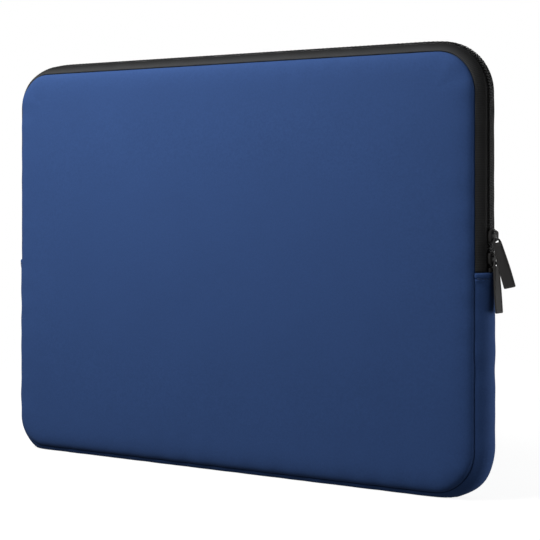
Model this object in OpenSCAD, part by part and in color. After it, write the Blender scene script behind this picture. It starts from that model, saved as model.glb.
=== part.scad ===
// Laptop sleeve: two crowned neoprene panels joined by a band that is a zip above and a gusset below.
// It stands on the flattened middle of its bottom gusset. X is the width, Y the depth with the front
// panel towards -Y, and Z the height. The origin is the centre of the resting strip.

/* [Outline] */
// Width between the seams of the panels
seam_w = 345; // [300:1:400]
// Height between the seams of the panels
seam_h = 251.5; // [210:0.5:290]
// Radius of the two top corners, along the seam
top_r = 23.5; // [20:0.5:40]
// Radius of the two bottom corners, along the seam
bottom_r = 22.5; // [20:0.5:40]

/* [Depth] */
// Distance between the front seam and the back seam
band_d = 20; // [18:0.5:24]
// How far each panel swells out beyond its seam
crown = 4; // [4:0.25:5]
// Width of the rounded edge of each panel
edge_w = 10; // [8:0.5:12]

/* [Cloth] */
// Thickness of the neoprene
neoprene_t = 3; // [2.5:0.25:3.5]
// Thickness of the lining
lining_t = 0.8; // [0.5:0.1:1]
// How far the gusset bulges out beyond the seam
gusset_bulge = 6.8; // [6:0.1:7.5]
// How far the sleeve's weight presses the bottom of the gusset flat
stand_flat = 3.8; // [3:0.1:3.8]
// Height of the turned hem at each top end of the gusset
hem_h = 5; // [4.5:0.5:8]
// Extra thickness of the hem
hem_t = 0.6; // [0.3:0.1:0.8]

/* [Zip] */
// Height of the two lower ends of the zip above the bottom seam
zip_end_h = 126; // [110:0.5:135]
// Thickness of the zip tape
tape_t = 0.7; // [0.5:0.1:0.9]
// How far the tape bulges out beyond the seam
tape_bulge = 4.9; // [4.7:0.1:5.1]
// Width of the closed coil
coil_w = 6; // [5.8:0.1:6.2]
// Height of the coil above the tape
coil_h = 1.3; // [1.2:0.1:1.6]
// Gap between the two halves of the coil
coil_gap = 1; // [0.9:0.1:1.2]

/* [Sliders] */
// Length of a slider body along the zip
slider_l = 8; // [7.8:0.1:8.6]
// Width of a slider body at its wide end
slider_w = 7.8; // [7.8:0.1:8.6]
// Gap between the end stop and the lower slider
slider_park = 0.75; // [0.5:0.05:1.5]
// Gap between the two parked sliders
slider_gap = 5.2; // [4.8:0.1:7]
// Length of a pull tab from its pivot
pull_l = 28.7; // [24:0.1:32]
// Width of a pull tab at its free end
pull_w = 8; // [6.5:0.1:8.4]
// Thickness of a pull tab
pull_t = 1.1; // [0.9:0.1:1.1]
// Angle at which the upper pull tab leans out from hanging straight down
upper_lean = 17.6; // [17:0.1:30]
// Angle at which the lower pull tab leans out from hanging straight down
lower_lean = 4; // [1:0.5:6]
// Turn of the upper pull tab about its own length, loose on its crown
upper_twist = 25; // [0:1:25]

/* [Hidden] */
$fn = 96;

blue = "#2d4a7a";
blue_dark = "#26406b";
black = "#2a2a2b";
grey = "#3c3d40";

// Heights above the floor
bottom_z = gusset_bulge - stand_flat;
top_z = bottom_z + seam_h;
low_bend_z = bottom_z + bottom_r;
high_bend_z = top_z - top_r;
hem_z = bottom_z + zip_end_h;
far = 2 * seam_w;

// Across the band, y runs from the front seam at -half_d to the back seam at +half_d
half_d = band_d / 2;
half_w = seam_w / 2;

// Each arched section is a ring whose circle passes through both seams and peaks at the bulge
function arch_r(bulge) = (half_d * half_d + bulge * bulge) / (2 * bulge);
gusset_r = arch_r(gusset_bulge);
gusset_c = gusset_bulge - gusset_r;
tape_r = arch_r(tape_bulge);
tape_c = tape_bulge - tape_r;

// A panel's rounded edge is an arc that leaves its flat face smoothly and ends at the seam
edge_r = (edge_w * edge_w + crown * crown) / (2 * crown);
face_y = half_d + crown;

// Zip hardware, measured outward from the seam
coil_top = tape_bulge + coil_h;
stop_l = 2.4;
stop_z = hem_z + 0.2;
coil_z = stop_z + stop_l + 0.1;
slide_fit = 0.1;
plate_t = 0.6;
plate_x = coil_top + slide_fit;
shell_x = plate_x + plate_t;
lip_x = 4.7;
inner_plate_x = 2.4;
inner_plate_t = 0.9;
post_w = coil_gap - 2 * slide_fit;
crown_l = 7;
crown_w = 2.4;
crown_h = 2.8;
crown_t = 0.6;
pivot_x = shell_x + 1.6;
pivot_drop = 1.7;
pivot_r = 0.5;
pull_slot_w = 3.6;
pull_slot_l = 2;
pull_neck_w = 6;
pull_taper_l = 17;
lower_slider_z = coil_z + slider_park + slider_l / 2;
upper_slider_z = lower_slider_z + slider_l + slider_gap;

// The front folds here when the sleeve is open, just above the parked sliders
fold_z = upper_slider_z + slider_l / 2 + 3;
fold_gap = 0.2;

binding_w = 4;
binding_t = 2.2;
binding_in = 5.5;

// ---- Sweeps round the outline. A child is a flat section: x outward from the seam, y across the band.
// $reach is how far inward the section has to go to fill the shape.

// A straight run whose outward direction is turned by angle from +X, starting at (x, z)
module run(angle, x, z, length, reach = 0) {
    $reach = reach;
    translate([x, 0, z]) rotate([0, -angle, 0]) linear_extrude(length) children();
}

// A quarter bend round the corner centre (x, z), starting at angle from +X
module bend(angle, x, z, r, reach = 0) {
    $reach = reach;
    translate([x, 0, z]) rotate([0, -angle, 0]) rotate([-90, 0, 0]) rotate([0, 0, -90])
        rotate_extrude(angle = 90) translate([r, 0]) children();
}

// The arch over the top, from height z on the right side round to the same height on the left
module over_top(z) {
    run(0, half_w, z, high_bend_z - z) children();
    bend(0, half_w - top_r, high_bend_z, top_r) children();
    run(90, half_w - top_r, top_z, seam_w - 2 * top_r) children();
    bend(90, top_r - half_w, high_bend_z, top_r) children();
    run(180, -half_w, high_bend_z, high_bend_z - z) children();
}

// The cradle under the bottom, between height z on the left side and on the right
module under_bottom(z) {
    run(180, -half_w, z, z - low_bend_z) children();
    bend(180, bottom_r - half_w, low_bend_z, bottom_r) children();
    run(270, bottom_r - half_w, bottom_z, seam_w - 2 * bottom_r) children();
    bend(270, half_w - bottom_r, low_bend_z, bottom_r) children();
    run(0, half_w, low_bend_z, z - low_bend_z) children();
}

// A whole panel: quarter discs at the corners, edge runs between them, and a flat middle
module dish() {
    mid_w = seam_w - 2 * top_r;
    bend(0, half_w - top_r, high_bend_z, top_r, top_r) children();
    bend(90, top_r - half_w, high_bend_z, top_r, top_r) children();
    bend(180, bottom_r - half_w, low_bend_z, bottom_r, bottom_r) children();
    bend(270, half_w - bottom_r, low_bend_z, bottom_r, bottom_r) children();
    run(90, mid_w / 2, top_z, mid_w, top_r) children();
    run(270, bottom_r - half_w, bottom_z, seam_w - 2 * bottom_r, bottom_r) children();
    run(0, half_w, low_bend_z, high_bend_z - low_bend_z, half_w) children();
    run(180, -half_w, high_bend_z, high_bend_z - low_bend_z, half_w) children();
}

// ---- Sections

// Layer of a front panel between two depths below its outer face
module panel_section(outer, inner) {
    translate([-$reach, outer - face_y]) square([$reach - edge_w, inner - outer]);
    intersection() {
        difference() {
            translate([-edge_w, edge_r - face_y]) circle(edge_r - outer);
            translate([-edge_w, edge_r - face_y]) circle(edge_r - inner);
        }
        translate([-edge_w, -face_y]) square([edge_w, crown]);
    }
}

// Layer of the arched band, between the two seams and outside the centre of its arch
module arch_section(centre, outer, inner, y_from, y_to) {
    intersection() {
        difference() {
            translate([centre, 0]) circle(outer);
            translate([centre, 0]) circle(inner);
        }
        translate([centre, y_from]) square([2 * outer, y_to - y_from]);
    }
}

module gusset_section() {
    arch_section(gusset_c, gusset_r, gusset_r - neoprene_t, -half_d, half_d);
}

// The gusset's arch filled in, from a little inside the seam
module filled_section(outer) {
    intersection() {
        translate([gusset_c, 0]) circle(outer);
        translate([-2, -half_d]) square([2 * outer, band_d]);
    }
}

module hem_section() {
    arch_section(gusset_c, gusset_r + hem_t, gusset_r - neoprene_t, -half_d, half_d);
}

module gusset_lining_section() {
    arch_section(gusset_c, gusset_r - neoprene_t, gusset_r - neoprene_t - lining_t, -half_d, half_d);
}

module tape_section() {
    arch_section(tape_c, tape_r, tape_r - tape_t, -half_d, -coil_gap / 2);
}

// Half of the coil, domed on its outer face
module coil_section() {
    half = coil_w / 2;
    polygon([
        [tape_bulge, -coil_gap / 2], [tape_bulge, -half], [tape_bulge + 0.55 * coil_h, -half],
        [coil_top - 0.1, -half + 0.8], [coil_top, -half + 1.5], [coil_top, -coil_gap / 2]
    ]);
}

module binding_section() {
    translate([-binding_in - binding_w, -half_d]) square([binding_w, binding_t]);
}

// ---- Cuts

module above_fold() {
    intersection() {
        children();
        translate([-far / 2, -far / 2, fold_z + fold_gap]) cube(far);
    }
}

module below_fold() {
    intersection() {
        children();
        translate([-far / 2, -far / 2, fold_z - far]) cube(far);
    }
}

module above(z) {
    intersection() {
        children();
        translate([-far / 2, -far / 2, z]) cube(far);
    }
}

// The layer of the gusset's bottom that lies flat between two heights, inside an arch of radius outer
module flat_layer(outer, low, high) {
    intersection() {
        under_bottom(low_bend_z + 1) filled_section(outer);
        translate([-far / 2, -half_d, low]) cube([far, band_d, high - low]);
    }
}

module to_back() {
    mirror([0, 1, 0]) children();
}

module to_left() {
    mirror([1, 0, 0]) children();
}

// ---- Panels and linings

module front_panel() {
    dish() panel_section(0, neoprene_t);
}

module front_lining() {
    dish() panel_section(neoprene_t, crown);
}

module back_panel() {
    color(blue) to_back() front_panel();
}

module back_lining() {
    color(grey) to_back() front_lining();
}

module front_panel_lower() {
    color(blue) below_fold() front_panel();
}

module front_panel_upper() {
    color(blue) above_fold() front_panel();
}

module front_lining_lower() {
    color(grey) below_fold() front_lining();
}

module front_lining_upper() {
    color(grey) above_fold() front_lining();
}

// ---- Band

module gusset_band() {
    color(blue_dark) {
        above(0) under_bottom(hem_z - hem_h) gusset_section();
        flat_layer(gusset_r, 0, neoprene_t);
        run(0, half_w, hem_z - hem_h, hem_h) hem_section();
        to_left() run(0, half_w, hem_z - hem_h, hem_h) hem_section();
    }
}

module gusset_lining() {
    color(grey) {
        above(neoprene_t) under_bottom(hem_z) gusset_lining_section();
        flat_layer(gusset_r - neoprene_t, neoprene_t, neoprene_t + lining_t);
    }
}

module zip_tape_back() {
    color(black) to_back() over_top(hem_z) tape_section();
}

module zip_coil_back() {
    color(black) to_back() over_top(coil_z) coil_section();
}

module zip_tape_front_upper() {
    color(black) over_top(fold_z + fold_gap) tape_section();
}

module zip_coil_front_upper() {
    color(black) over_top(fold_z + fold_gap) coil_section();
}

module zip_tape_front_right() {
    color(black) run(0, half_w, hem_z, fold_z - hem_z) tape_section();
}

module zip_coil_front_right() {
    color(black) run(0, half_w, coil_z, fold_z - coil_z) coil_section();
}

module zip_tape_front_left() {
    to_left() zip_tape_front_right();
}

module zip_coil_front_left() {
    to_left() zip_coil_front_right();
}

module binding_ring() {
    over_top(low_bend_z) binding_section();
    under_bottom(low_bend_z + 1) binding_section();
}

module back_seam_binding() {
    color(black) to_back() binding_ring();
}

module front_seam_binding_lower() {
    color(black) below_fold() binding_ring();
}

module front_seam_binding_upper() {
    color(black) over_top(fold_z + fold_gap) binding_section();
}

// A clip across both halves of the coil, below its last tooth
module end_stop_right() {
    color(black) translate([half_w + tape_bulge + 0.05, -coil_w / 2 - 0.2, stop_z])
        cube([coil_h + 0.3, coil_w + 0.4, stop_l]);
}

module end_stop_left() {
    to_left() end_stop_right();
}

// A row of short stitches lying across the hem
module hem_stitching_right() {
    stitches = 7;
    step = 17;
    thread_r = 0.3;
    stitch_l = 2.2;
    lie_r = gusset_r + hem_t + thread_r + 0.02;
    color(blue_dark) for (i = [0 : stitches - 1]) {
        angle = (i - (stitches - 1) / 2) * step;
        translate([half_w + gusset_c, 0, hem_z - 0.7 * hem_h]) rotate([0, 0, angle])
            translate([lie_r, -stitch_l / 2, 0]) rotate([-90, 0, 0])
                cylinder(h = stitch_l, r = thread_r, $fn = 24);
    }
}

module hem_stitching_left() {
    to_left() hem_stitching_right();
}

// ---- Sliders, in their own frame: x outward from the seam, z up the zip

// Two plates joined by a post that runs in the gap between the coils, with lips round the outer plate.
// The wide end, where the coils part, is at the top or at the bottom.
module slider_body(wide_up) {
    end = wide_up ? -slider_l / 2 : slider_l / 2;
    nose = sign(end);
    wide = slider_w / 2;
    narrow = 0.42 * slider_w;
    outline = [
        [end, 1 - wide], [end - nose, -wide], [0, -wide], [nose - end, -narrow - 0.3], [-end, 0.8 - narrow],
        [-end, narrow - 0.8], [nose - end, narrow + 0.3], [0, wide], [end - nose, wide], [end, wide - 1]
    ];
    channel_w = coil_w + 2 * slide_fit + 0.2;
    post_l = 1.4;
    difference() {
        translate([lip_x, 0, 0]) rotate([0, 90, 0]) linear_extrude(shell_x - lip_x) polygon(outline);
        translate([0, -channel_w / 2, -slider_l]) cube([plate_x, channel_w, 2 * slider_l]);
        translate([shell_x - 2 * plate_t, -0.7, 1]) cube([4 * plate_t, 1.4, 1.8]);
    }
    translate([inner_plate_x, 0, 0]) rotate([0, 90, 0]) linear_extrude(inner_plate_t) polygon(outline);
    translate([inner_plate_x, -post_w / 2, -end * 0.9 + (wide_up ? -post_l : 0)])
        cube([shell_x - inner_plate_x, post_w, post_l]);
}

// Side view of the crown, x outward and y down the zip
module crown_profile(inset) {
    foot_y = crown_l / 2 - inset;
    bend_x = 1.4;
    bend_y = foot_y - 0.25;
    top_x = crown_h - 0.75 * inset;
    top_y = crown_l / 2 - 1.2 - 0.4 * inset;
    polygon([[0, -foot_y], [bend_x, -bend_y], [top_x, -top_y], [top_x, top_y], [bend_x, bend_y], [0, foot_y]]);
}

module slider_crown() {
    translate([shell_x, crown_w / 2, 0]) rotate([90, 0, 0]) linear_extrude(crown_w) difference() {
        crown_profile(0);
        translate([-0.01, 0]) crown_profile(crown_t * 1.2);
    }
}

// The lock catch: a leaf under the crown with a tooth that reaches down to the coil
module slider_pawl() {
    leaf_t = 0.35;
    leaf_w = 1.8;
    tooth_w = 1;
    leaf_x = shell_x + 1.25;
    translate([leaf_x, -leaf_w / 2, 0.3]) cube([leaf_t, leaf_w, 1.6]);
    translate([coil_top + 0.3, -tooth_w / 2, 1.3]) cube([leaf_x - coil_top, tooth_w, 0.6]);
}

// A pull tab hanging straight down from its pivot bar, its blade turned to face forward by twist
module pull_tab(twist) {
    neck = pull_neck_w / 2;
    blade = pull_w / 2;
    cut = 0.6;
    bar_l = pull_slot_w + 0.6;
    edge = [
        [0, neck - 0.6], [1.5, neck - 0.1], [pull_taper_l, blade], [pull_l - cut, blade], [pull_l, blade - cut]
    ];
    other_edge = [for (i = [len(edge) - 1 : -1 : 0]) [edge[i][0], -edge[i][1]]];
    rotate([90, 0, 0]) translate([0, 0, -bar_l / 2]) cylinder(h = bar_l, r = pivot_r, $fn = 48);
    rotate([0, 0, -twist]) difference() {
        translate([-pull_t / 2, 0, 0]) rotate([0, 90, 0]) linear_extrude(pull_t)
            polygon(concat(edge, other_edge));
        translate([-pull_t, -pull_slot_w / 2, -pull_slot_l]) cube([2 * pull_t, pull_slot_w, pull_slot_l + 1]);
    }
}

module at_upper_slider() {
    translate([half_w, 0, upper_slider_z]) children();
}

module at_lower_slider() {
    translate([half_w, 0, lower_slider_z]) children();
}

module at_pivot(slider_z, lean) {
    translate([half_w + pivot_x, 0, slider_z - pivot_drop]) rotate([0, -lean, 0]) children();
}

module upper_slider_body() {
    color(black) at_upper_slider() slider_body(false);
}

module upper_slider_crown() {
    color(black) at_upper_slider() slider_crown();
}

module upper_slider_pawl() {
    color(grey) at_upper_slider() slider_pawl();
}

module upper_pull_tab() {
    color(black) at_pivot(upper_slider_z, upper_lean) pull_tab(upper_twist);
}

module lower_slider_body() {
    color(black) at_lower_slider() slider_body(true);
}

module lower_slider_crown() {
    color(black) at_lower_slider() slider_crown();
}

module lower_slider_pawl() {
    color(grey) at_lower_slider() slider_pawl();
}

module lower_pull_tab() {
    color(black) at_pivot(lower_slider_z, lower_lean) pull_tab(0);
}

back_panel();
back_lining();
front_panel_lower();
front_lining_lower();
gusset_band();
gusset_lining();
zip_tape_back();
zip_coil_back();
zip_tape_front_right();
zip_coil_front_right();
zip_tape_front_left();
zip_coil_front_left();
back_seam_binding();
front_seam_binding_lower();
end_stop_right();
end_stop_left();
hem_stitching_right();
hem_stitching_left();
front_panel_upper();
front_lining_upper();
zip_tape_front_upper();
zip_coil_front_upper();
front_seam_binding_upper();
upper_slider_body();
upper_slider_crown();
upper_slider_pawl();
upper_pull_tab();
lower_slider_body();
lower_slider_crown();
lower_slider_pawl();
lower_pull_tab();
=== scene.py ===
"""A zipped neoprene laptop sleeve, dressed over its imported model.

Shapes are worked out in millimetres and turned into metres when a mesh is made. "out" is the distance
outward from the seam, and "inset" is the distance inward from it, both in the plane of the panels.
"""
import math

import bmesh
import bpy
import numpy as np
from mathutils import Matrix, Vector


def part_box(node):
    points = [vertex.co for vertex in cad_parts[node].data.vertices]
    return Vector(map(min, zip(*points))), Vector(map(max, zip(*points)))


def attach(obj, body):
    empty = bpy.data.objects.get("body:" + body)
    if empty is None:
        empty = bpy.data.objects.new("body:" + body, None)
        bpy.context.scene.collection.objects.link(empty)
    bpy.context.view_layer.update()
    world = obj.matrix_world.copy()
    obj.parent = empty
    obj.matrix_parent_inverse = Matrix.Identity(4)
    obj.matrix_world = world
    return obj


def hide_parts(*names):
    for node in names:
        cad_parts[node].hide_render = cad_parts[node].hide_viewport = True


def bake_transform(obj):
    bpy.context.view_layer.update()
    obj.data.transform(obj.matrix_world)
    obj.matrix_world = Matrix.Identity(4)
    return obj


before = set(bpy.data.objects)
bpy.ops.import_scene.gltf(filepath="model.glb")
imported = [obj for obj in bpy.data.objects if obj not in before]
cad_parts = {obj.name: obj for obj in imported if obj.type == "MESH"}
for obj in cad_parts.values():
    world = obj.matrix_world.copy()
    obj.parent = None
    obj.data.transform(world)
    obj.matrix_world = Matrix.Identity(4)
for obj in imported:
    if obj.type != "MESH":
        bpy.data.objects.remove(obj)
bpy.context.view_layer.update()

MM = 0.001
RANDOM = np.random.default_rng(7)


def node_box(node):
    """Lowest and highest corner of a CAD node, in millimetres."""
    return [np.array(corner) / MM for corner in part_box(node)]


# ---- Sizes taken from the frame, in millimetres ----

PANEL_LOW, PANEL_HIGH = node_box("back_panel")
HALF_W = PANEL_HIGH[0]
SEAM_BOTTOM, SEAM_TOP = PANEL_LOW[2], PANEL_HIGH[2]
FACE_Y = PANEL_HIGH[1]
HEM_TOP = node_box("gusset_band")[1][2]
COIL_START = node_box("zip_coil_back")[0][2]
COIL_LOW, COIL_HIGH = node_box("zip_coil_front_right")
COIL_BASE, COIL_TOP = COIL_LOW[0] - HALF_W, COIL_HIGH[0] - HALF_W
STOP_LOW, STOP_HIGH = node_box("end_stop_right")
UPPER_SLIDER_Z = np.mean([corner[2] for corner in node_box("upper_slider_body")])
LOWER_SLIDER_Z = np.mean([corner[2] for corner in node_box("lower_slider_body")])
SHELL_OUT = node_box("upper_slider_body")[1][0] - HALF_W

# ---- Sizes of the cloth, in millimetres ----

# The seam's corner radii, and how much less the band bulges beside each corner, as a share. Both run
# top right, top left, bottom left, bottom right
CORNER_R = (24.0, 22.5, 20.0, 26.5)
CORNER_DIPS = (0.05, 0.15, 0.0, 0.27)
CORNER_DIP_AT = 12.0     # how far a dip's middle lies from its corner's middle, towards the level edge
CORNER_DIP_W = 11.0
TOP_SWELL = 0.12     # how much more the band bulges along the top, as a share
TOP_SWELL_RAMP = 30.0    # how far past a corner's middle that swell is full
EDGE_W = 19.0        # width of a panel's rounded edge, which has to be less than every corner radius
EDGE_POWER = 3.2     # how square the rounded edge is: 2 is an ellipse
CREASE_Y = 8.7       # how far from the middle the bottom of the seam's crease lies
DOME = 1.5           # how much further the middle of a panel swells
NEOPRENE_T = 3.0
NEOPRENE_EDGE_T = 0.8    # where it is sewn down flat
LINING_T = 0.85
LAYER_GAP = 0.1      # between the neoprene and its lining
TAPE_T = 0.6
HEM_H = 5.0
HEM_T = 0.6
HEM_EDGE = 1.3       # radius of the hem's top edge
HEM_STITCH = 3.5     # from the hem's top edge down to its stitches
STITCH_COUNT = 7
STITCH_STEP = 3.35
STITCH_L = 2.7


# ---- The seam's outline ----

class Outline:
    """The seam's rounded rectangle, followed up the right side, over the top, down the left and back."""

    def __init__(self):
        top_right, top_left, bottom_left, bottom_right = CORNER_R
        height, width = SEAM_TOP - SEAM_BOTTOM, 2 * HALF_W
        self.low_bend = SEAM_BOTTOM + bottom_right
        self.high_bend = SEAM_TOP - top_left
        corners = [(top_right, height - bottom_right - top_right), (top_left, width - top_right - top_left),
                   (bottom_left, height - top_left - bottom_left),
                   (bottom_right, width - bottom_left - bottom_right)]
        self.legs = []
        place, heading, start = np.array([HALF_W, self.low_bend]), np.array([0.0, 1.0]), 0.0
        for radius, straight in corners:
            self.legs.append((start, straight, 0.0, place, heading))
            place, start = place + straight * heading, start + straight
            self.legs.append((start, radius * math.pi / 2, radius, place, heading))
            left = np.array([-heading[1], heading[0]])
            place, start = place + radius * (heading + left), start + radius * math.pi / 2
            heading = left
        self.length = start
        self.corner_middles = [leg[0] + leg[1] / 2 for leg in self.legs if leg[2]]

    def right(self, z):
        """Distance along the outline to height z on the right side."""
        return z - self.low_bend

    def left(self, z):
        """Distance along the outline to height z on the left side."""
        return self.legs[4][0] + self.high_bend - z

    def at(self, s):
        """Places and outward directions, each as (x, z), at distances s."""
        s = np.mod(np.asarray(s, float), self.length)
        place, outward = np.zeros((len(s), 2)), np.zeros((len(s), 2))
        for start, length, radius, corner, heading in self.legs:
            here = (s >= start - 1e-9) & (s <= start + length)
            along = (s[here] - start)[:, None]
            left = np.array([-heading[1], heading[0]])
            if radius:
                turn = along / radius
                outward[here] = np.sin(turn) * heading - np.cos(turn) * left
                place[here] = corner + radius * left + radius * outward[here]
            else:
                outward[here] = -left
                place[here] = corner + along * heading
        return place, outward


SEAM = Outline()


def on_outline(s, out, y):
    """Points at distances s round the seam, out from it, at depth y. out and y are broadcast to s."""
    place, outward = SEAM.at(np.ravel(s))
    place, outward = place.reshape(*np.shape(s), 2), outward.reshape(*np.shape(s), 2)
    flat = place + np.asarray(out)[..., None] * outward
    y = np.broadcast_to(y, flat.shape[:-1])
    return np.stack([flat[..., 0], y, flat[..., 1]], axis=-1)


def on_band(s, out, y):
    """Points on the band, which bulges less where the cloth is drawn tight round the corners."""
    s = np.asarray(s, float)
    middles, half = SEAM.corner_middles, SEAM.length / 2
    bulge = 1.0
    for middle, way, depth in zip(middles, (1, -1, 1, -1), CORNER_DIPS):
        away = np.mod(s - middle - way * CORNER_DIP_AT + half, SEAM.length) - half
        bulge = bulge - depth * np.exp(-(away / CORNER_DIP_W) ** 2)
    top = np.clip(np.minimum(s - middles[0], middles[1] - s) / TOP_SWELL_RAMP, 0, 1)
    return on_outline(s, np.asarray(out) * (bulge + TOP_SWELL * top * top * (3 - 2 * top)), y)


def waves(s, amplitude, counts):
    """A gentle random waviness that closes on itself round the outline."""
    phases = RANDOM.uniform(0, 2 * math.pi, len(counts))
    return amplitude / len(counts) * sum(
        np.sin(2 * math.pi * n * s / SEAM.length + phase) for n, phase in zip(counts, phases))


def spline(points, steps):
    """A smooth curve through points, with that many steps in each span."""
    points = np.array(points, float)
    padded = np.vstack([2 * points[0] - points[1], points, 2 * points[-1] - points[-2]])
    t = np.linspace(0, 1, steps, endpoint=False)[:, None]
    spans = []
    for a, b, c, d in zip(padded, padded[1:], padded[2:], padded[3:]):
        spans.append(0.5 * (2 * b + (c - a) * t + (2 * a - 5 * b + 4 * c - d) * t ** 2
                            + (3 * b - a - 3 * c + d) * t ** 3))
    return np.vstack([*spans, points[-1:]])


def offset_line(line, distance):
    """The line moved to its left by distance, which may vary along it."""
    ahead = np.gradient(line, axis=0)
    ahead /= np.linalg.norm(ahead, axis=1)[:, None]
    return line + np.stack([-ahead[:, 1], ahead[:, 0]], axis=1) * np.reshape(distance, (-1, 1))


def along_line(line):
    """The distance along a line at each of its points."""
    return np.concatenate([[0], np.cumsum(np.linalg.norm(np.diff(line, axis=0), axis=1))])


def squarish(wave, power):
    """A wave from -1 to 1 with flatter tops. A ring of two such waves has rounded corners."""
    return np.sign(wave) * np.abs(wave) ** power


# ---- Meshes ----

def make_piece(name, points, faces, material, uv=None):
    """A piece from points in millimetres. uv has one pair a point, in millimetres of cloth."""
    mesh = bpy.data.meshes.new(name)
    mesh.from_pydata((np.asarray(points) * MM).tolist(), [], [tuple(f) for f in faces])
    if uv is not None:
        layer = mesh.uv_layers.new(name="Cloth")
        corner = np.zeros(len(mesh.loops), np.int32)
        mesh.loops.foreach_get("vertex_index", corner)
        layer.data.foreach_set("uv", (np.asarray(uv)[corner] * MM).ravel())
    return finish_piece(name, mesh, material)


def finish_piece(name, mesh, material, crease_angle=None):
    """The piece's normals, shading, material and object."""
    solid = bmesh.new()
    solid.from_mesh(mesh)
    bmesh.ops.recalc_face_normals(solid, faces=solid.faces)
    solid.to_mesh(mesh)
    solid.free()
    mesh.polygons.foreach_set("use_smooth", [True] * len(mesh.polygons))
    if crease_angle:
        mesh.set_sharp_from_angle(angle=math.radians(crease_angle))
    mesh.materials.append(material)
    piece = bpy.data.objects.new(name, mesh)
    bpy.context.scene.collection.objects.link(piece)
    return piece


def grid_faces(rows, columns, close_rows=False, close_columns=False):
    """Quads of a grid of rows times columns points, numbered along the columns first."""
    i, j = np.meshgrid(np.arange(rows if close_rows else rows - 1),
                       np.arange(columns if close_columns else columns - 1), indexing="ij")
    i2, j2 = (i + 1) % rows, (j + 1) % columns
    return np.stack([i * columns + j, i2 * columns + j, i2 * columns + j2, i * columns + j2],
                    axis=-1).reshape(-1, 4)


def slab(outer, inner, faces):
    """Two skins with the same faces, joined round their free edge. Returns points and faces."""
    count = len(outer)
    edges = {}
    for face in faces:
        for a, b in zip(face, np.roll(face, -1)):
            edges[(a, b)] = True
    rim = [(a, b) for a, b in edges if (b, a) not in edges]
    sides = [(b, a, a + count, b + count) for a, b in rim]
    return np.vstack([outer, inner]), [*faces, *(faces[:, ::-1] + count), *sides]


def tube_faces(rings, sides):
    """The faces of a tube of rings, with a cap at each end."""
    last = (rings - 1) * sides
    caps = [list(range(sides)), list(range(last, last + sides))[::-1]]
    return grid_faces(rings, sides, close_columns=True).tolist() + caps


def tube(path, across, radius, sides):
    """A round tube along path. across is a direction, one or one a point, that the path never follows."""
    ahead = np.gradient(path, axis=0)
    ahead /= np.linalg.norm(ahead, axis=1)[:, None]
    first = across - np.sum(across * ahead, 1)[:, None] * ahead
    first /= np.linalg.norm(first, axis=1)[:, None]
    second = np.cross(ahead, first)
    turn = np.linspace(0, 2 * math.pi, sides, endpoint=False)
    ring = np.cos(turn)[None, :, None] * first[:, None] + np.sin(turn)[None, :, None] * second[:, None]
    return (path[:, None] + radius * ring).reshape(-1, 3), tube_faces(len(path), sides)


def join(parts):
    """Several (points, faces) pairs as one."""
    points, faces, count = [], [], 0
    for part_points, part_faces in parts:
        points.append(part_points)
        faces += [[v + count for v in face] for face in part_faces]
        count += len(part_points)
    return np.vstack(points), faces


# ---- Materials ----

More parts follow.
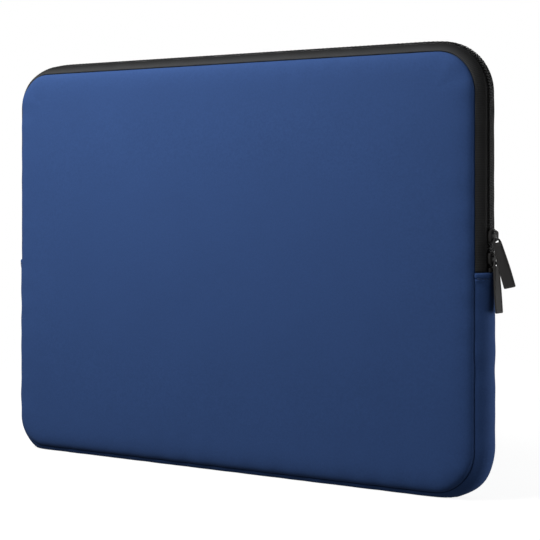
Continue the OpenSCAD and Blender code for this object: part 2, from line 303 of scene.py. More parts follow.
class Shader:
    """A material, with short ways to add and link its nodes."""

    def __init__(self, name, color, roughness, specular=0.5):
        self.material = bpy.data.materials.new(name)
        self.material.use_nodes = True
        self.tree = self.material.node_tree
        self.surface = self.tree.nodes["Principled BSDF"]
        self.surface.inputs["Roughness"].default_value = roughness
        self.surface.inputs["Specular IOR Level"].default_value = specular
        self.color = (*color, 1)
        self.surface.inputs["Base Color"].default_value = self.color
        self.material.diffuse_color = self.color

    def node(self, kind, inputs=(), **settings):
        """A new node. inputs are (socket, value or socket to link) pairs."""
        node = self.tree.nodes.new(kind)
        for key, value in settings.items():
            setattr(node, key, value)
        for key, value in dict(inputs).items():
            self.put(node.inputs[key], value)
        return node

    def put(self, socket, value):
        if isinstance(value, bpy.types.NodeSocket):
            self.tree.links.new(value, socket)
        else:
            socket.default_value = value

    def math(self, operation, *values):
        node = self.node("ShaderNodeMath", operation=operation)
        for socket, value in zip(node.inputs, values):
            self.put(socket, value)
        return node.outputs[0]

    def map_range(self, value, start, end, **settings):
        """The value, with the range start stretched onto the range end and held there beyond it."""
        ranges = zip(("From Min", "From Max", "To Min", "To Max"), (*start, *end))
        return self.node("ShaderNodeMapRange", [("Value", value), *ranges], **settings).outputs[0]

    def wave(self, value, pitch, shift=0.0):
        """A sine of a length in metres, from 0 to 1, that repeats every pitch millimetres."""
        turns = self.math("MULTIPLY_ADD", value, 2 * math.pi / (pitch * MM), shift)
        return self.math("MULTIPLY_ADD", self.math("SINE", turns), 0.5, 0.5)

    def cloth(self):
        """The two directions of the cloth, in metres."""
        uv = self.node("ShaderNodeUVMap", uv_map="Cloth")
        parts = self.node("ShaderNodeSeparateXYZ", [(0, uv.outputs[0])])
        return parts.outputs[0], parts.outputs[1]

    def noise(self, size, detail=2.0, roughness=0.5):
        """Noise in the object's own space, with features about size millimetres across."""
        place = self.node("ShaderNodeTexCoord").outputs["Object"]
        node = self.node("ShaderNodeTexNoise", [("Vector", place), ("Scale", 1 / (size * MM)),
                                                ("Detail", detail), ("Roughness", roughness)])
        return node.outputs[0]

    def around_one(self, value, swing):
        """A 0 to 1 value as a factor between 1 - swing and 1 + swing."""
        return self.math("MULTIPLY_ADD", value, 2 * swing, 1 - swing)

    def shade(self, *factors):
        """Multiplies the base colour by the factors."""
        total = factors[0]
        for factor in factors[1:]:
            total = self.math("MULTIPLY", total, factor)
        node = self.node("ShaderNodeVectorMath", operation="SCALE")
        node.inputs[0].default_value = self.color[:3]
        self.put(node.inputs["Scale"], total)
        self.put(self.surface.inputs["Base Color"], node.outputs[0])

    def bump(self, *layers):
        """Layers are (height from 0 to 1, depth in millimetres)."""
        normal = None
        for height, depth in layers:
            node = self.node("ShaderNodeBump", [("Height", height), ("Distance", depth * MM),
                                                ("Strength", 1.0)])
            if normal:
                self.put(node.inputs["Normal"], normal)
            normal = node.outputs[0]
        self.put(self.surface.inputs["Normal"], normal)

    def sheen(self, weight, roughness, tint):
        self.surface.inputs["Sheen Weight"].default_value = weight
        self.surface.inputs["Sheen Roughness"].default_value = roughness
        self.surface.inputs["Sheen Tint"].default_value = (*tint, 1)


def knit_neoprene():
    """Blue neoprene faced with a fine jersey knit, soft and matt."""
    shader = Shader("knit_neoprene", (0.0275, 0.0615, 0.174), 0.85, 0.08)
    along, up = shader.cloth()
    wales = shader.wave(along, 0.62)
    slant = shader.math("MULTIPLY", wales, 2.4)
    courses = shader.wave(up, 0.5, slant)
    loops = shader.math("MULTIPLY", wales, courses)
    shader.shade(shader.around_one(shader.noise(45), 0.05), shader.around_one(shader.noise(1.1, 4), 0.16),
                 shader.around_one(loops, 0.10))
    shader.bump((shader.noise(9, 3), 0.12), (shader.noise(0.9, 3), 0.03), (loops, 0.03))
    shader.sheen(0.05, 0.45, (0.45, 0.65, 1.0))
    return shader.material


def plush_lining():
    """Dark grey brushed lining."""
    shader = Shader("plush_lining", (0.045, 0.047, 0.052), 0.9, 0.15)
    pile = shader.noise(0.7, 5, 0.7)
    shader.shade(shader.around_one(shader.noise(30), 0.18), shader.around_one(pile, 0.35))
    shader.bump((shader.noise(12, 2), 0.25), (pile, 0.18))
    shader.sheen(0.6, 0.5, (0.8, 0.85, 0.9))
    return shader.material


def woven_tape():
    """Black polyester zip tape in a fine twill with ribs across it."""
    shader = Shader("woven_zip_tape", (0.026, 0.0265, 0.0275), 0.7, 0.15)
    along, across = shader.cloth()
    rib_pitch = 0.95
    ribs = shader.wave(along, rib_pitch)
    ends = shader.wave(across, 0.55, shader.math("MULTIPLY", along, math.pi / (rib_pitch * MM)))
    weave = shader.math("MULTIPLY", ribs, ends)
    # Painted light: the tape is made paler near the seam, as a painted highlight on its front-facing strip,
    # and darker towards the coil, as painted shade of the coil's groove
    painted_seam_light_coil_shade = shader.map_range(across, (1.5 * MM, 7 * MM), (1.3, 0.35), interpolation_type="SMOOTHSTEP")
    # The base colour is scaled by the painted highlight and shade ramp, with the weave and the random tone
    shader.shade(shader.around_one(shader.noise(14), 0.12), shader.around_one(weave, 0.5), painted_seam_light_coil_shade)
    shader.bump((ribs, 0.05), (weave, 0.05), (shader.noise(1.5), 0.02))
    shader.sheen(0.04, 0.4, (0.9, 0.95, 1.0))
    return shader.material


def nylon_coil():
    """Black nylon filament, satin."""
    shader = Shader("nylon_coil", (0.017, 0.0175, 0.018), 0.5, 0.35)
    shader.shade(shader.around_one(shader.noise(3), 0.25))
    shader.bump((shader.noise(0.4), 0.01))
    return shader.material


def ribbed_binding():
    """Black binding tape with ribs across it."""
    shader = Shader("ribbed_binding", (0.018, 0.018, 0.020), 0.7, 0.3)
    along, across = shader.cloth()
    ribs = shader.wave(along, 0.8)
    shader.shade(shader.around_one(ribs, 0.25), shader.around_one(shader.noise(10), 0.15))
    shader.bump((ribs, 0.08), (shader.wave(across, 0.6), 0.02))
    return shader.material


def thread(name, color):
    """Spun sewing thread, twisted from plies."""
    shader = Shader(name, color, 0.6, 0.35)
    shader.shade(shader.around_one(shader.noise(0.35, 3), 0.3))
    shader.bump((shader.noise(0.25, 2), 0.03))
    return shader.material


def coated_metal():
    """Black enamel on die-cast zinc, rubbed a little lighter on its edges."""
    shader = Shader("black_enamel", (0.030, 0.029, 0.0285), 0.6, 0.12)
    edge = shader.node("ShaderNodeNewGeometry").outputs["Pointiness"]
    worn = shader.map_range(edge, (0.52, 0.62), (1.0, 1.7))
    grain = shader.noise(0.5, 4, 0.6)
    shader.shade(worn, shader.around_one(shader.noise(6), 0.15), shader.around_one(grain, 0.12))
    shader.put(shader.surface.inputs["Roughness"], shader.math("MULTIPLY_ADD", grain, 0.16, 0.52))
    shader.bump((grain, 0.012))
    return shader.material


def spring_steel():
    """Bare spring steel, brushed along its length."""
    shader = Shader("spring_steel", (0.42, 0.42, 0.41), 0.3)
    shader.surface.inputs["Metallic"].default_value = 1.0
    brushed = shader.noise(0.3, 3)
    shader.put(shader.surface.inputs["Roughness"], shader.math("MULTIPLY_ADD", brushed, 0.2, 0.2))
    shader.shade(shader.around_one(brushed, 0.2))
    return shader.material


NEOPRENE = knit_neoprene()
LINING = plush_lining()
TAPE = woven_tape()
COIL = nylon_coil()
BINDING = ribbed_binding()
BLUE_THREAD = thread("blue_thread", (0.020, 0.045, 0.12))
BLACK_THREAD = thread("black_thread", (0.014, 0.014, 0.015))
ENAMEL = coated_metal()
STEEL = spring_steel()


def on_shell(piece, slot, *nodes):
    """The piece rides on the shell in place of those CAD nodes."""
    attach(piece, "shell")
    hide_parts(*nodes)
    return piece


def across_fold(piece, slot, *nodes):
    """The piece, which reaches from the shell across the fold line to the flap, has its place baked into its
    mesh and stands in place of those CAD nodes.
    """
    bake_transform(piece)
    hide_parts(*nodes)
    return piece


# ---- Panels and their linings ----

SIDE_STEPS = 90      # grid steps up a side
TOP_STEPS = 126      # grid steps along the top
SEAM_STITCHES = 380  # round the whole seam
RIPPLE_REACH = 7.0   # how far in from the seam the cloth's ripple dies away
TURN_UP = 3.05       # how far the inside of a panel turns up at the seam
TURN_UP_W = 2.4


def panel_stations():
    """Distances round the seam, from the middle of the bottom right corner, in equal steps a side."""
    top_right, top_left, bottom_left, bottom_right = SEAM.corner_middles
    ends = [bottom_right - SEAM.length, top_right, top_left, bottom_left, bottom_right]
    steps = [SIDE_STEPS, TOP_STEPS, SIDE_STEPS, TOP_STEPS]
    return np.concatenate([np.linspace(a, b, n, endpoint=False) for a, b, n in zip(ends, ends[1:], steps)])


def panel_skin(insets, depth, side, ripple):
    """Rings that follow the seam, then an even grid inside the last of them. depth is y at an inset."""
    s = panel_stations()
    rings = on_outline(np.tile(s, (len(insets), 1)), -insets[:, None], 0.0)
    rings[..., 1] = depth(insets)[:, None] + ripple(s)[None, :] * np.exp(-insets / RIPPLE_REACH)[:, None]
    flat = rings[-1][:, [0, 2]]
    a = np.linspace(0, 1, TOP_STEPS + 1)[:, None, None]
    b = np.linspace(0, 1, SIDE_STEPS + 1)[None, :, None]
    up, over = np.arange(SIDE_STEPS + 1), np.arange(TOP_STEPS + 1)
    right, left = flat[up], flat[2 * SIDE_STEPS + TOP_STEPS - up]
    top, bottom = flat[SIDE_STEPS + over], flat[-over % len(s)]
    corners = ((1 - a) * (1 - b) * bottom[0] + a * (1 - b) * bottom[-1]
               + (1 - a) * b * top[0] + a * b * top[-1])
    patch = (1 - a) * right[None] + a * left[None] + (1 - b) * bottom[:, None] + b * top[:, None] - corners
    inside = patch[1:-1, 1:-1].reshape(-1, 2)
    middle = np.stack([inside[:, 0], np.full(len(inside), depth(insets[-1:])[0]), inside[:, 1]], axis=1)
    points = np.vstack([rings.reshape(-1, 3), middle])
    height = (points[:, 2] - SEAM_BOTTOM) / (SEAM_TOP - SEAM_BOTTOM)
    across = 1 - (points[:, 0] / HALF_W) ** 6
    points[:, 1] += DOME * np.clip(across, 0, 1) * np.clip(4 * height * (1 - height), 0, 1)
    points[:, 1] *= side
    return points


def panel_faces(ring_count):
    """The faces between the points of panel_skin, in its order."""
    count = 2 * (SIDE_STEPS + TOP_STEPS)
    last = (ring_count - 1) * count
    number = np.zeros((TOP_STEPS + 1, SIDE_STEPS + 1), int)
    number[1:-1, 1:-1] = ring_count * count + np.arange((TOP_STEPS - 1) * (SIDE_STEPS - 1)).reshape(
        TOP_STEPS - 1, SIDE_STEPS - 1)
    p, q = np.arange(TOP_STEPS + 1), np.arange(SIDE_STEPS + 1)
    number[0, :] = last + q
    number[:, -1] = last + SIDE_STEPS + p
    number[-1, :] = last + 2 * SIDE_STEPS + TOP_STEPS - q
    number[:, 0] = last + -p % count
    middle = np.stack([number[:-1, :-1], number[:-1, 1:], number[1:, 1:], number[1:, :-1]],
                      axis=-1).reshape(-1, 4)
    # The grid runs the same way round as the rings, so that every face looks the same way
    return np.vstack([grid_faces(ring_count, count, close_columns=True), middle[:, ::-1]])


def outer_depth(inset):
    """The panel's face: a squarish roll from the bottom of the crease to the flat middle."""
    across = np.clip(1 - inset / EDGE_W, 0, 1) ** EDGE_POWER
    return CREASE_Y + (FACE_Y - CREASE_Y) * (1 - across) ** (1 / EDGE_POWER)


def inner_depth(inset):
    """The panel's inside, which turns up round the seam."""
    return FACE_Y - NEOPRENE_T + LAYER_GAP / 2 - TURN_UP * np.exp(-(inset / TURN_UP_W) ** 2)


EDGE_INSETS = EDGE_W * (1 - np.cos(np.linspace(0, math.pi / 2, 22)) ** (2 / EDGE_POWER))
LINING_INSETS = EDGE_INSETS + 0.5


def level(s):
    """No ripple at all."""
    return 0 * s


def panel(name, side):
    """A neoprene panel. side is -1 for the front and 1 for the back."""
    counts = RANDOM.integers(20, 70, 6)

    def ripple(s):
        return waves(s, 0.5, counts) + 0.05 * np.sin(2 * math.pi * SEAM_STITCHES * s / SEAM.length)

    outer = panel_skin(EDGE_INSETS, outer_depth, side, ripple)
    inner = panel_skin(EDGE_INSETS, inner_depth, side, level)
    inner[:, 1] -= side * LAYER_GAP / 2
    points, faces = slab(outer, inner, panel_faces(len(EDGE_INSETS)))
    piece = make_piece(name, points, faces, NEOPRENE, uv=points[:, [0, 2]])
    return piece


def lining(name, side):
    """The lining of a panel, a little inside it all round."""
    outer = panel_skin(LINING_INSETS, inner_depth, side, level)
    inner = outer.copy()
    outer[:, 1] -= side * LAYER_GAP
    inner[:, 1] -= side * (LAYER_GAP + LINING_T)
    points, faces = slab(outer, inner, panel_faces(len(LINING_INSETS)))
    piece = make_piece(name, points, faces, LINING, uv=points[:, [0, 2]])
    return piece


# ---- The band: gusset below, zip tapes above ----

# Half of each section, as (out, y), from the seam's crease to the middle or to the coil
GUSSET_HALF = [(0.1, -8.7), (0.15, -9.5), (0.6, -9.8), (1.75, -9.2), (3.1, -8.1), (4.9, -6.1), (6.25, -3.4)]
GUSSET_BULGE = 6.8
TAPE_HALF = [(0.1, -8.9), (0.15, -9.4), (0.6, -9.75), (1.5, -9.25), (2.7, -8.0), (4.3, -6.1), (4.95, -5.0),
             (5.0, -4.5), (4.55, -3.95), (4.4, -3.4), (4.6, -2.7), (4.8, -1.8), (4.85, -0.5)]


def gusset_section():
    """The gusset's outer face across the band, from the front crease to the back one."""
    return spline(GUSSET_HALF + [(GUSSET_BULGE, 0)] + [(out, -y) for out, y in reversed(GUSSET_HALF)], 5)


def band_skin(s, line, lift=0.0, side=1):
    """A line across the band, as (out, y), carried along it. lift is added to its distance out."""
    stations = np.repeat(s[:, None], len(line), 1)
    return on_band(stations, line[:, 0] + lift, side * line[:, 1]).reshape(-1, 3)


def band_cloth(s, section):
    """Places in the flat cloth for the points of two skins of a strip."""
    cloth = np.stack([np.repeat(s, len(section)), np.tile(along_line(section), len(s))], axis=1)
    return np.vstack([cloth, cloth])


def press_flat(points, floor):
    """Lifts every point that is below the floor onto it, with a soft bend where it meets it."""
    above = points[:, 2] - floor
    points[:, 2] = floor + 0.5 * (above + np.sqrt(above ** 2 + 0.02))


def gusset():
    """The neoprene band round the lower sides and the bottom, with a hem at each end."""
    hem_reach, edge_points = 12, 12
    fine = np.linspace(0, hem_reach, 41)
    right_end, left_end = SEAM.length + SEAM.right(HEM_TOP), SEAM.left(HEM_TOP)
    middle = np.arange(left_end + hem_reach + 1.5, right_end - hem_reach - 0.5, 2.0)
    s = np.concatenate([left_end + fine, middle, right_end - fine[::-1]])
    from_end = np.minimum(s - left_end, right_end - s)
    section = gusset_section()
    number = np.arange(len(section))
    thickness = np.clip(np.minimum(number, number[::-1]) / edge_points, 0, 1)
    inside = offset_line(section, NEOPRENE_EDGE_T + (NEOPRENE_T - NEOPRENE_EDGE_T) * thickness)
    # The hem is thicker, its top edge is rounded, and its stitches pull a groove into it
    step = HEM_T / (1 + np.exp((from_end - HEM_H) / 0.6))
    roll = HEM_EDGE * (1 - np.sqrt(1 - np.clip(1 - from_end / HEM_EDGE, 0, 1) ** 2))
    groove = 0.55 * np.exp(-((from_end - HEM_STITCH) / 0.55) ** 2)
    swell = (step - roll - groove + waves(s, 0.25, [31, 47, 66]))[:, None] * thickness[None, :]
    normal = offset_line(section, -1.0) - section
    shape = section[None] + swell[..., None] * normal[None]
    stations = np.repeat(s[:, None], len(section), 1)
    outer = on_band(stations, shape[..., 0], shape[..., 1]).reshape(-1, 3)
    inner = band_skin(s, inside)
    # It stands on the strip that is pressed flat against the floor
    press_flat(outer, 0)
    press_flat(inner, NEOPRENE_T)
    points, faces = slab(outer, inner, grid_faces(len(s), len(section)))
    piece = make_piece("gusset_neoprene_band", points, faces, NEOPRENE, uv=band_cloth(s, section))
    return piece


def gusset_inside():
    """The gusset's lining, between the two seams' allowances."""
    half_width, end_inset = 7.2, 1
    s = np.arange(SEAM.left(HEM_TOP - end_inset), SEAM.length + SEAM.right(HEM_TOP - end_inset), 2.5)
    section = offset_line(gusset_section(), NEOPRENE_T + 1.5 * LAYER_GAP)
    section = section[np.abs(section[:, 1]) < half_width]
    outer, inner = band_skin(s, section), band_skin(s, offset_line(section, LINING_T))
    press_flat(outer, NEOPRENE_T + LAYER_GAP)
    press_flat(inner, NEOPRENE_T + LAYER_GAP + LINING_T)
    points, faces = slab(outer, inner, grid_faces(len(s), len(section)))
    piece = make_piece("gusset_plush_lining", points, faces, LINING)
    return piece


def zip_tape(name, side):
    """Half of the zip's tape, from the seam to under the coil, with a ripple along its middle."""
    s = np.arange(SEAM.right(HEM_TOP + 0.1), SEAM.left(HEM_TOP + 0.1) + 0.5, 1.5)
    section = spline(TAPE_HALF, 4)
    ripple = waves(s, 0.2, [37, 53, 71])[:, None] * np.exp(-((section[:, 1] + 7) / 2.5) ** 2)[None]
    outer, inner = (band_skin(s, line, ripple, -side) for line in (section, offset_line(section, TAPE_T)))
    points, faces = slab(outer, inner, grid_faces(len(s), len(section)))
    piece = make_piece(name, points, faces, TAPE, uv=band_cloth(s, section))
    return piece


# ---- The zip's coils ----

PITCH = 1.45         # from one turn of a coil to the next
WIRE_R = 0.33
COIL_HALF_W = 3.0    # from the middle of the closed zip to a coil's outer side
CROSS = 0.35         # how far a coil's heads reach past the middle, between the other coil's


def zip_coil(name, side):
    """A flattened helix. The two coils are half a pitch apart, so that their heads interlock."""
    start, end = SEAM.right(COIL_START) + 0.4, SEAM.left(COIL_START) - 0.4
    steps = 12
    turns = int((end - start) / PITCH) - 1
    turn = np.arange(turns * steps + 1) / steps
    angle = 2 * math.pi * turn
    inner_y, outer_y = -CROSS + WIRE_R, COIL_HALF_W - WIRE_R
    y = (inner_y + outer_y) / 2 - (outer_y - inner_y) / 2 * np.cos(angle)
    lift = (COIL_TOP - COIL_BASE) / 2 - WIRE_R
    out = (COIL_TOP + COIL_BASE) / 2 + lift * squarish(np.sin(angle), 0.7)
    # The filament crosses squarely on its outer side and leans back on its inner side
    lean = np.where(np.sin(angle) > 0, 0.15, 0.85)
    along = np.concatenate([[0], np.cumsum((lean[1:] + lean[:-1]) / steps)])
    along = along * turns / along[-1]
    s = start + PITCH * (along + (0.5 if side > 0 else 0))
    path = on_band(s, out, side * y)
    across = on_band(s + 0.5, out, side * y) - path
    points, faces = tube(path, across, WIRE_R, 6)
    return make_piece(name, points, faces, COIL)


def coil_threads(name, side):
    """The row of stitches that holds a coil to its tape, over every second turn."""
    thread_r, row_y = 0.14, 1.7
    start, end = SEAM.right(COIL_START) + 1, SEAM.left(COIL_START) - 1
    s = np.arange(start, end, PITCH / 2)
    phase = math.pi * (s - start) / PITCH
    path = on_band(s, COIL_TOP - thread_r + 0.1 * np.cos(phase), side * (row_y + 0.07 * np.sin(phase)))
    points, faces = tube(path, np.array([0.0, 1.0, 0.0]), thread_r, 5)
    return make_piece(name, points, faces, BLACK_THREAD)


def seam_binding(name, side):
    """A folded tape over the seam allowance, lying on the lining all the way round."""
    low, high = node_box("back_seam_binding")
    inset = HALF_W - high[0]
    width, near, far = 4.0, low[1], high[1] - 0.05
    sides, stitches = 20, 366
    s = np.linspace(0, SEAM.length, 440, endpoint=False)
    turn = np.linspace(0, 2 * math.pi, sides, endpoint=False)
    puff = 0.96 * (1 + 0.06 * np.sin(2 * math.pi * stitches * s / SEAM.length))[:, None]
    out = -(inset + width / 2) + width / 2 * squarish(np.cos(turn), 0.5)
    y = (near + far) / 2 + (far - near) / 2 * squarish(np.sin(turn), 0.6) * puff
    points = on_outline(np.repeat(s[:, None], sides, 1), out, side * y).reshape(-1, 3)
    cloth = np.stack([np.repeat(s, sides), np.tile(turn * width / 2, len(s))], axis=1)
    return make_piece(name, points, grid_faces(len(s), sides, True, True).tolist(), BINDING, uv=cloth)


def hem_stitches(name, side):
    """Short stitches that sink into the hem's groove at both ends."""
    section = gusset_section()
    girth = along_line(section)
    normal = offset_line(section, -1.0) - section
    s = SEAM.right(HEM_TOP - HEM_STITCH) if side > 0 else SEAM.left(HEM_TOP - HEM_STITCH)
    along = np.linspace(-0.5, 0.5, 11)
    rise = 0.36 - 0.75 * (2 * along) ** 4
    rows = []
    for k in range(STITCH_COUNT):
        reach = girth[-1] / 2 + (k - (STITCH_COUNT - 1) / 2) * STITCH_STEP + STITCH_L * along
        out, y = (np.interp(reach, girth, section[:, axis]) + rise * np.interp(reach, girth, normal[:, axis])
                  for axis in (0, 1))
        rows.append(tube(on_outline(np.full(len(along), s), out, y), np.array([0.0, 0.0, 1.0]), 0.27, 8))
    return make_piece(name, *join(rows), BLUE_THREAD)


# ---- Hardware, drawn in place from rounded plates ----

def rounded(corners, radius, steps=5):
    """A closed outline with its corners rounded. radius is one number, or one a corner."""
    corners = [np.array(c, float) for c in corners]
    radii = np.broadcast_to(radius, len(corners))
    points = []
    neighbours = zip(corners[-1:] + corners[:-1], corners, corners[1:] + corners[:1], radii)
    for before, corner, after, r in neighbours:
        to_before, to_after = before - corner, after - corner
        reach = min(r, 0.48 * np.linalg.norm(to_before), 0.48 * np.linalg.norm(to_after))
        start = corner + to_before / np.linalg.norm(to_before) * reach
        end = corner + to_after / np.linalg.norm(to_after) * reach
        for t in np.linspace(0, 1, steps + 1):
            points.append((1 - t) ** 2 * start + 2 * t * (1 - t) * corner + t ** 2 * end)
    return points


def plate(outline, thickness, edge):
    """A flat plate with rounded edges, centred on its thickness."""
    curve = bpy.data.curves.new("plate", "CURVE")
    curve.dimensions = "2D"
    curve.fill_mode = "BOTH"
    curve.extrude = (thickness / 2 - edge) * MM
    curve.bevel_depth = edge * MM
    curve.bevel_resolution = 3
    curve.offset = -edge * MM
    row = curve.splines.new("POLY")
    row.points.add(len(outline) - 1)
    for point, place in zip(row.points, outline):
        point.co = (place[0] * MM, place[1] * MM, 0, 1)
    row.use_cyclic_u = True
    holder = bpy.data.objects.new("plate", curve)
    bpy.context.scene.collection.objects.link(holder)
    bpy.context.view_layer.update()
    mesh = bpy.data.meshes.new_from_object(holder.evaluated_get(bpy.context.evaluated_depsgraph_get()))
    bpy.data.objects.remove(holder)
    bpy.data.curves.remove(curve)
    return weld(mesh)


def weld(mesh):
    """Joins points that lie on each other and turns every face outward."""
    solid = bmesh.new()
    solid.from_mesh(mesh)
    bmesh.ops.remove_doubles(solid, verts=solid.verts, dist=0.002 * MM)
    bmesh.ops.recalc_face_normals(solid, faces=solid.faces)
    solid.to_mesh(mesh)
    solid.free()
    return mesh


def block(low, high, edge=0.0):
    """A box between two corners, with rounded edges."""
    mesh = bpy.data.meshes.new("block")
    solid = bmesh.new()
    bmesh.ops.create_cube(solid, size=1)
    low, high = np.array(low, float), np.array(high, float)
    for vert in solid.verts:
        vert.co = tuple((low + (np.array(vert.co) + 0.5) * (high - low)) * MM)
    if edge:
        bmesh.ops.bevel(solid, geom=solid.edges[:], offset=edge * MM, segments=3, profile=0.5,
                        affect="EDGES")
    solid.to_mesh(mesh)
    solid.free()
    return mesh


def solid_of(points_faces):
    """A mesh from points in millimetres and faces, for combine."""
    mesh = bpy.data.meshes.new("solid")
    mesh.from_pydata((points_faces[0] * MM).tolist(), [], points_faces[1])
    return weld(mesh)


def placed(mesh, matrix):
    mesh.transform(matrix)
    return mesh


def combine(mesh, *others):
    """The first mesh with each (operation, mesh) applied to it in turn."""
    base = bpy.data.objects.new("base", mesh)
    bpy.context.scene.collection.objects.link(base)
    tools = []
    for operation, other in others:
        tool = bpy.data.objects.new("tool", other)
        bpy.context.scene.collection.objects.link(tool)
        cut = base.modifiers.new("cut", "BOOLEAN")
        cut.operation, cut.solver, cut.object = operation, "EXACT", tool
        tools.append(tool)
    bpy.context.view_layer.update()
    result = bpy.data.meshes.new_from_object(base.evaluated_get(bpy.context.evaluated_depsgraph_get()))
    for thing in [base, *tools]:
        bpy.data.objects.remove(thing)
    return weld(result)


# Distances out are from the seam, unless they say otherwise
SLIDER_L = 8.0
SLIDER_W = 7.8
NARROW_HALF_W = 0.42 * SLIDER_W      # half its width at the end where the coils leave closed
PLATE_T = 0.6
LIP_OUT = 4.7        # the outer plate's lips reach in to here
CHANNEL_HALF_W = 3.25    # room between the lips for the coils
INNER_PLATE = (2.4, 3.3)     # distances out of its two faces
POST_HALF_W = 0.35
POST_L = 1.4
PAWL_SLOT = (1.0, 2.8)       # from and to, above the slider's middle
PAWL_SLOT_HALF_W = 0.7
CROWN_W = 2.4
CROWN_H = 2.8        # above the slider's face
CROWN_T = 0.6
PIVOT_OUT = SHELL_OUT + 1.6
PIVOT_DROP = 1.7     # below the slider's middle
PIVOT_R = 0.5
PULL_L = 28.7
PULL_W = 8.0
PULL_T = 1.1
PULL_RIM = 1.1       # left standing beside the sunk panel
NECK_W = 6.0         # the pull's width at its top
TAPER_L = 17.0       # from the pivot down to its full width
SLOT_W = 3.6
SLOT_L = 2.15        # from the pivot down

# From a plate drawn in (z, y) to the zip's side: its thickness runs outward
STAND = Matrix(((0, 0, 1, 0), (0, 1, 0, 0), (1, 0, 0, 0), (0, 0, 0, 1)))


def moved(out, z=0.0):
    """A move to the right and up, in millimetres."""
    return Matrix.Translation((out * MM, 0, z * MM))


def at_slider(z):
    """To the seam on the right, at a slider's height."""
    return moved(HALF_W, z)


def slider_body(wide_up):
    """Two plates and the post between them. The coils part at the wide end."""
    up = 1 if wide_up else -1
    half, wide, narrow = SLIDER_L / 2, SLIDER_W / 2, NARROW_HALF_W
    outline = [(up * half, 0.5 - wide), (up * half * 0.3, -wide), (-up * half * 0.55, -narrow - 0.25),
               (-up * half, 0.6 - narrow), (-up * half, narrow - 0.6), (-up * half * 0.55, narrow + 0.25),
               (up * half * 0.3, wide), (up * half, wide - 0.5)]
    shape = rounded(outline, [1.3, 1.5, 1.5, 2.0, 2.0, 1.5, 1.5, 1.3])
    shell = placed(plate(shape, SHELL_OUT - LIP_OUT, 0.45), moved((LIP_OUT + SHELL_OUT) / 2) @ STAND)
    channel = block((0, -CHANNEL_HALF_W, -SLIDER_L), (SHELL_OUT - PLATE_T, CHANNEL_HALF_W, SLIDER_L))
    inner = placed(plate(shape, INNER_PLATE[1] - INNER_PLATE[0], 0.25), moved(sum(INNER_PLATE) / 2) @ STAND)
    post_ends = sorted((up * half * 0.9, up * half * 0.9 - up * POST_L))
    post = block((INNER_PLATE[0] + 0.2, -POST_HALF_W, post_ends[0]),
                 (SHELL_OUT - 0.2, POST_HALF_W, post_ends[1]))
    slot = block((SHELL_OUT - 2 * PLATE_T, -PAWL_SLOT_HALF_W, PAWL_SLOT[0]),
                 (SHELL_OUT + PLATE_T, PAWL_SLOT_HALF_W, PAWL_SLOT[1]))
    return combine(shell, ("DIFFERENCE", channel), ("DIFFERENCE", slot), ("UNION", inner), ("UNION", post))


def slider_crown():
    """The arched bridge that the pull hangs from, its feet sunk into the plate."""
    top = CROWN_H - CROWN_T / 2
    half = [(-0.3, -3.2), (0.5, -3.15), (1.35, -2.9), (top - 0.12, -2.0)]
    path = spline(half + [(top, 0)] + [(out, -z) for out, z in reversed(half)], 4)
    sides = 20
    turn = np.linspace(0, 2 * math.pi, sides, endpoint=False)
    across = squarish(np.cos(turn), 0.55) * CROWN_W / 2
    away = squarish(np.sin(turn), 0.6) * CROWN_T / 2
    normal = offset_line(path, 1.0) - path
    flat = path[:, None] + away[None, :, None] * normal[:, None]
    across = np.broadcast_to(across, flat.shape[:2])
    points = np.stack([SHELL_OUT + flat[..., 0], across, flat[..., 1]], axis=-1).reshape(-1, 3)
    return solid_of((points, tube_faces(len(path), sides)))


def pull_tab(twist):
    """A tab that hangs from its pivot bar, with a slot for the crown and a sunk panel on each face."""
    neck, blade, slot = NECK_W / 2, PULL_W / 2, SLOT_W / 2
    edge = [(0.0, neck - 1.0), (-2.0, neck - 0.1), (-TAPER_L, blade), (-PULL_L, blade)]
    far_edge = [(z, -y) for z, y in reversed(edge)]
    tab = plate(rounded(edge + far_edge, [0.6, 2, 6, 0.9, 0.9, 6, 2, 0.6]), PULL_T, 0.2)
    top, low, side = -SLOT_L - 2 * PULL_RIM, 1.2 - PULL_L, blade - PULL_RIM
    recess = rounded([(top, 1 - neck), (-TAPER_L, -side), (low, -side), (low, side), (-TAPER_L, side),
                      (top, neck - 1)], 0.8)
    cuts = [("DIFFERENCE", placed(plate(recess, 0.4, 0.05), moved(0, face * PULL_T / 2)))
            for face in (-1, 1)]
    gap = block((-SLOT_L, -slot, -3 * PULL_T), (2 * SLOT_L, slot, 3 * PULL_T), 0.8)
    turned = Matrix.Rotation(math.radians(-twist), 4, "Z") @ STAND
    tab = placed(combine(tab, ("DIFFERENCE", gap), *cuts), turned)
    end = slot + 0.3
    bar_path = np.linspace([0.0, -end, 0.0], [0.0, end, 0.0], 13)
    bar = solid_of(tube(bar_path, np.array([0.0, 0.0, 1.0]), PIVOT_R, 24))
    return combine(tab, ("UNION", bar))


def hardware(name, mesh, place, body, *nodes):
    """A piece of enamelled metal that rides on a body in place of its CAD nodes."""
    piece = finish_piece(name, placed(mesh, place), ENAMEL, crease_angle=32)
    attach(piece, body)
    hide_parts(*nodes)
    return piece


def end_stop(name, side):
    """A clip pressed round both coils below their last turns."""
    x_low, x_high = STOP_LOW[0] - 0.02, STOP_HIGH[0]
    clip = block((x_low, STOP_LOW[1], STOP_LOW[2]), (x_high, STOP_HIGH[1], STOP_HIGH[2]), 0.4)
    dent = plate(rounded([(-0.35, -2.0), (0.35, -2.0), (0.35, 2.0), (-0.35, 2.0)], 0.3), 0.4, 0.08)
    dent = placed(dent, moved(x_high, (STOP_LOW[2] + STOP_HIGH[2]) / 2) @ STAND)
    mesh = combine(clip, ("DIFFERENCE", dent))
    mirror = Matrix.Diagonal((side, 1, 1, 1))
    return hardware(name, mesh, mirror, "shell", name.replace("_clip", ""))


# ---- The sleeve ----

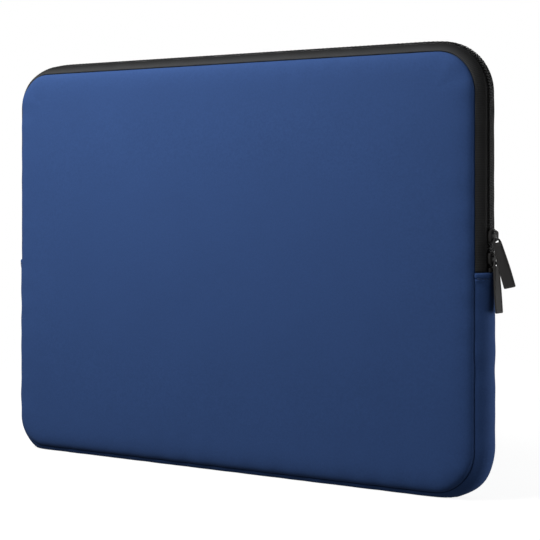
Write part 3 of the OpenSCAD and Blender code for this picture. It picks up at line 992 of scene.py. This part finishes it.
across_fold(panel("front_neoprene_panel", -1), "neoprene_blue", "front_panel_lower", "front_panel_upper")
on_shell(panel("back_neoprene_panel", 1), "neoprene_blue", "back_panel")
across_fold(lining("front_plush_lining", -1), "lining_knit", "front_lining_lower", "front_lining_upper")
on_shell(lining("back_plush_lining", 1), "lining_knit", "back_lining")
on_shell(gusset(), "neoprene_blue", "gusset_band")
on_shell(gusset_inside(), "lining_knit", "gusset_lining")
across_fold(zip_tape("front_woven_tape", -1), "zip_tape", "zip_tape_front_upper", "zip_tape_front_right",
            "zip_tape_front_left")
on_shell(zip_tape("back_woven_tape", 1), "zip_tape", "zip_tape_back")
across_fold(zip_coil("front_nylon_coil", -1), "zip_coil", "zip_coil_front_upper", "zip_coil_front_right",
            "zip_coil_front_left")
on_shell(zip_coil("back_nylon_coil", 1), "zip_coil", "zip_coil_back")
across_fold(coil_threads("front_coil_stitching", -1), "zip_tape")
on_shell(coil_threads("back_coil_stitching", 1), "zip_tape")
across_fold(seam_binding("front_binding_tape", -1), "binding_tape", "front_seam_binding_lower",
            "front_seam_binding_upper")
on_shell(seam_binding("back_binding_tape", 1), "binding_tape", "back_seam_binding")
on_shell(hem_stitches("hem_stitches_right", 1), "thread_blue", "hem_stitching_right")
on_shell(hem_stitches("hem_stitches_left", -1), "thread_blue", "hem_stitching_left")
end_stop("end_stop_right_clip", 1)
end_stop("end_stop_left_clip", -1)

for which, slider_z, wide_up, lean, twist in (("upper", UPPER_SLIDER_Z, False, 17.6, 25),
                                              ("lower", LOWER_SLIDER_Z, True, 4, 0)):
    hardware(f"{which}_slider_shell", slider_body(wide_up), at_slider(slider_z), f"{which}_slider",
             f"{which}_slider_body")
    hardware(f"{which}_slider_bridge", slider_crown(), at_slider(slider_z), f"{which}_slider",
             f"{which}_slider_crown")
    hang = at_slider(slider_z) @ moved(PIVOT_OUT, -PIVOT_DROP) @ Matrix.Rotation(math.radians(-lean), 4, "Y")
    hardware(f"{which}_pull", pull_tab(twist), hang, f"{which}_pull", f"{which}_pull_tab")
    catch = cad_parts[f"{which}_slider_pawl"]
    catch.data.materials.clear()
    catch.data.materials.append(STEEL)


# ---- Floor, light and camera ----

def studio_floor():
    """A pale round floor that fades out, so that it has no horizon."""
    mesh = bpy.data.meshes.new("studio_floor")
    circle = bmesh.new()
    bmesh.ops.create_circle(circle, cap_ends=True, segments=96, radius=1.6)
    circle.to_mesh(mesh)
    circle.free()
    floor = bpy.data.objects.new("studio_floor", mesh)
    bpy.context.scene.collection.objects.link(floor)
    shader = Shader("pale_floor", (0.16, 0.16, 0.16), 0.9, 0.0)
    shader.surface.inputs["Emission Color"].default_value = (1, 1, 1, 1)
    shader.surface.inputs["Emission Strength"].default_value = 0.88
    place = shader.node("ShaderNodeTexCoord").outputs["Object"]
    away = shader.node("ShaderNodeVectorMath", [(0, place)], operation="LENGTH").outputs["Value"]
    fade = shader.map_range(away, (0.25, 0.75), (0.0, 1.0), interpolation_type="SMOOTHSTEP")
    clear = shader.node("ShaderNodeBsdfTransparent").outputs[0]
    mix = shader.node("ShaderNodeMixShader", [(0, fade), (1, shader.surface.outputs[0]), (2, clear)])
    shader.put(shader.tree.nodes["Material Output"].inputs["Surface"], mix.outputs[0])
    mesh.materials.append(shader.material)
    # It lights nothing, so that it may be as pale as it is without washing out the cloth
    floor.visible_diffuse = False
    floor.visible_glossy = False


def studio_world():
    """White behind everything, and a dimmer white as the light that reaches the object."""
    world = bpy.data.worlds.new("studio")
    bpy.context.scene.world = world
    world.use_nodes = True
    nodes, links = world.node_tree.nodes, world.node_tree.links
    background = nodes["Background"]
    path = nodes.new("ShaderNodeLightPath")
    strength = nodes.new("ShaderNodeMapRange")
    links.new(path.outputs["Is Camera Ray"], strength.inputs["Value"])
    strength.inputs["To Min"].default_value = 0.15
    strength.inputs["To Max"].default_value = 1.0
    background.inputs["Color"].default_value = (1, 1, 1, 1)
    links.new(strength.outputs[0], background.inputs["Strength"])


def area_light(name, place, target, size, power):
    """A square light at place, turned to the target."""
    light = bpy.data.lights.new(name, "AREA")
    light.shape, light.size, light.energy = "SQUARE", size, power
    lamp = bpy.data.objects.new(name, light)
    lamp.location = place
    aim = Vector(target) - lamp.location
    lamp.rotation_euler = aim.to_track_quat("-Z", "Y").to_euler()
    bpy.context.scene.collection.objects.link(lamp)


studio_floor()
studio_world()
area_light("key", (-0.20, -0.43, 0.62), (0, 0, 0.13), 0.4, 7.2)
area_light("side_fill", (0.80, 0.08, 0.30), (0.17, 0, 0.12), 0.5, 1.05)
area_light("rim", (0.45, 0.25, 0.06), (0.17, 0, 0.08), 0.15, 0.8)
area_light("back_fill", (-0.3, 0.9, 0.6), (0, 0, 0.13), 0.6, 6)

# A level camera that looks at the front from its right
camera_data = bpy.data.cameras.new("camera")
camera_data.sensor_width = 36
camera_data.lens = 104
camera_data.shift_x = -0.0015
camera_data.shift_y = -0.1343
camera = bpy.data.objects.new("camera", camera_data)
camera.location = (0.574, -0.796, 0.1713)
camera.rotation_euler = (math.radians(90), 0, math.radians(34.49))
bpy.context.scene.collection.objects.link(camera)
bpy.context.scene.camera = camera
bpy.context.scene.view_settings.view_transform = "Standard"
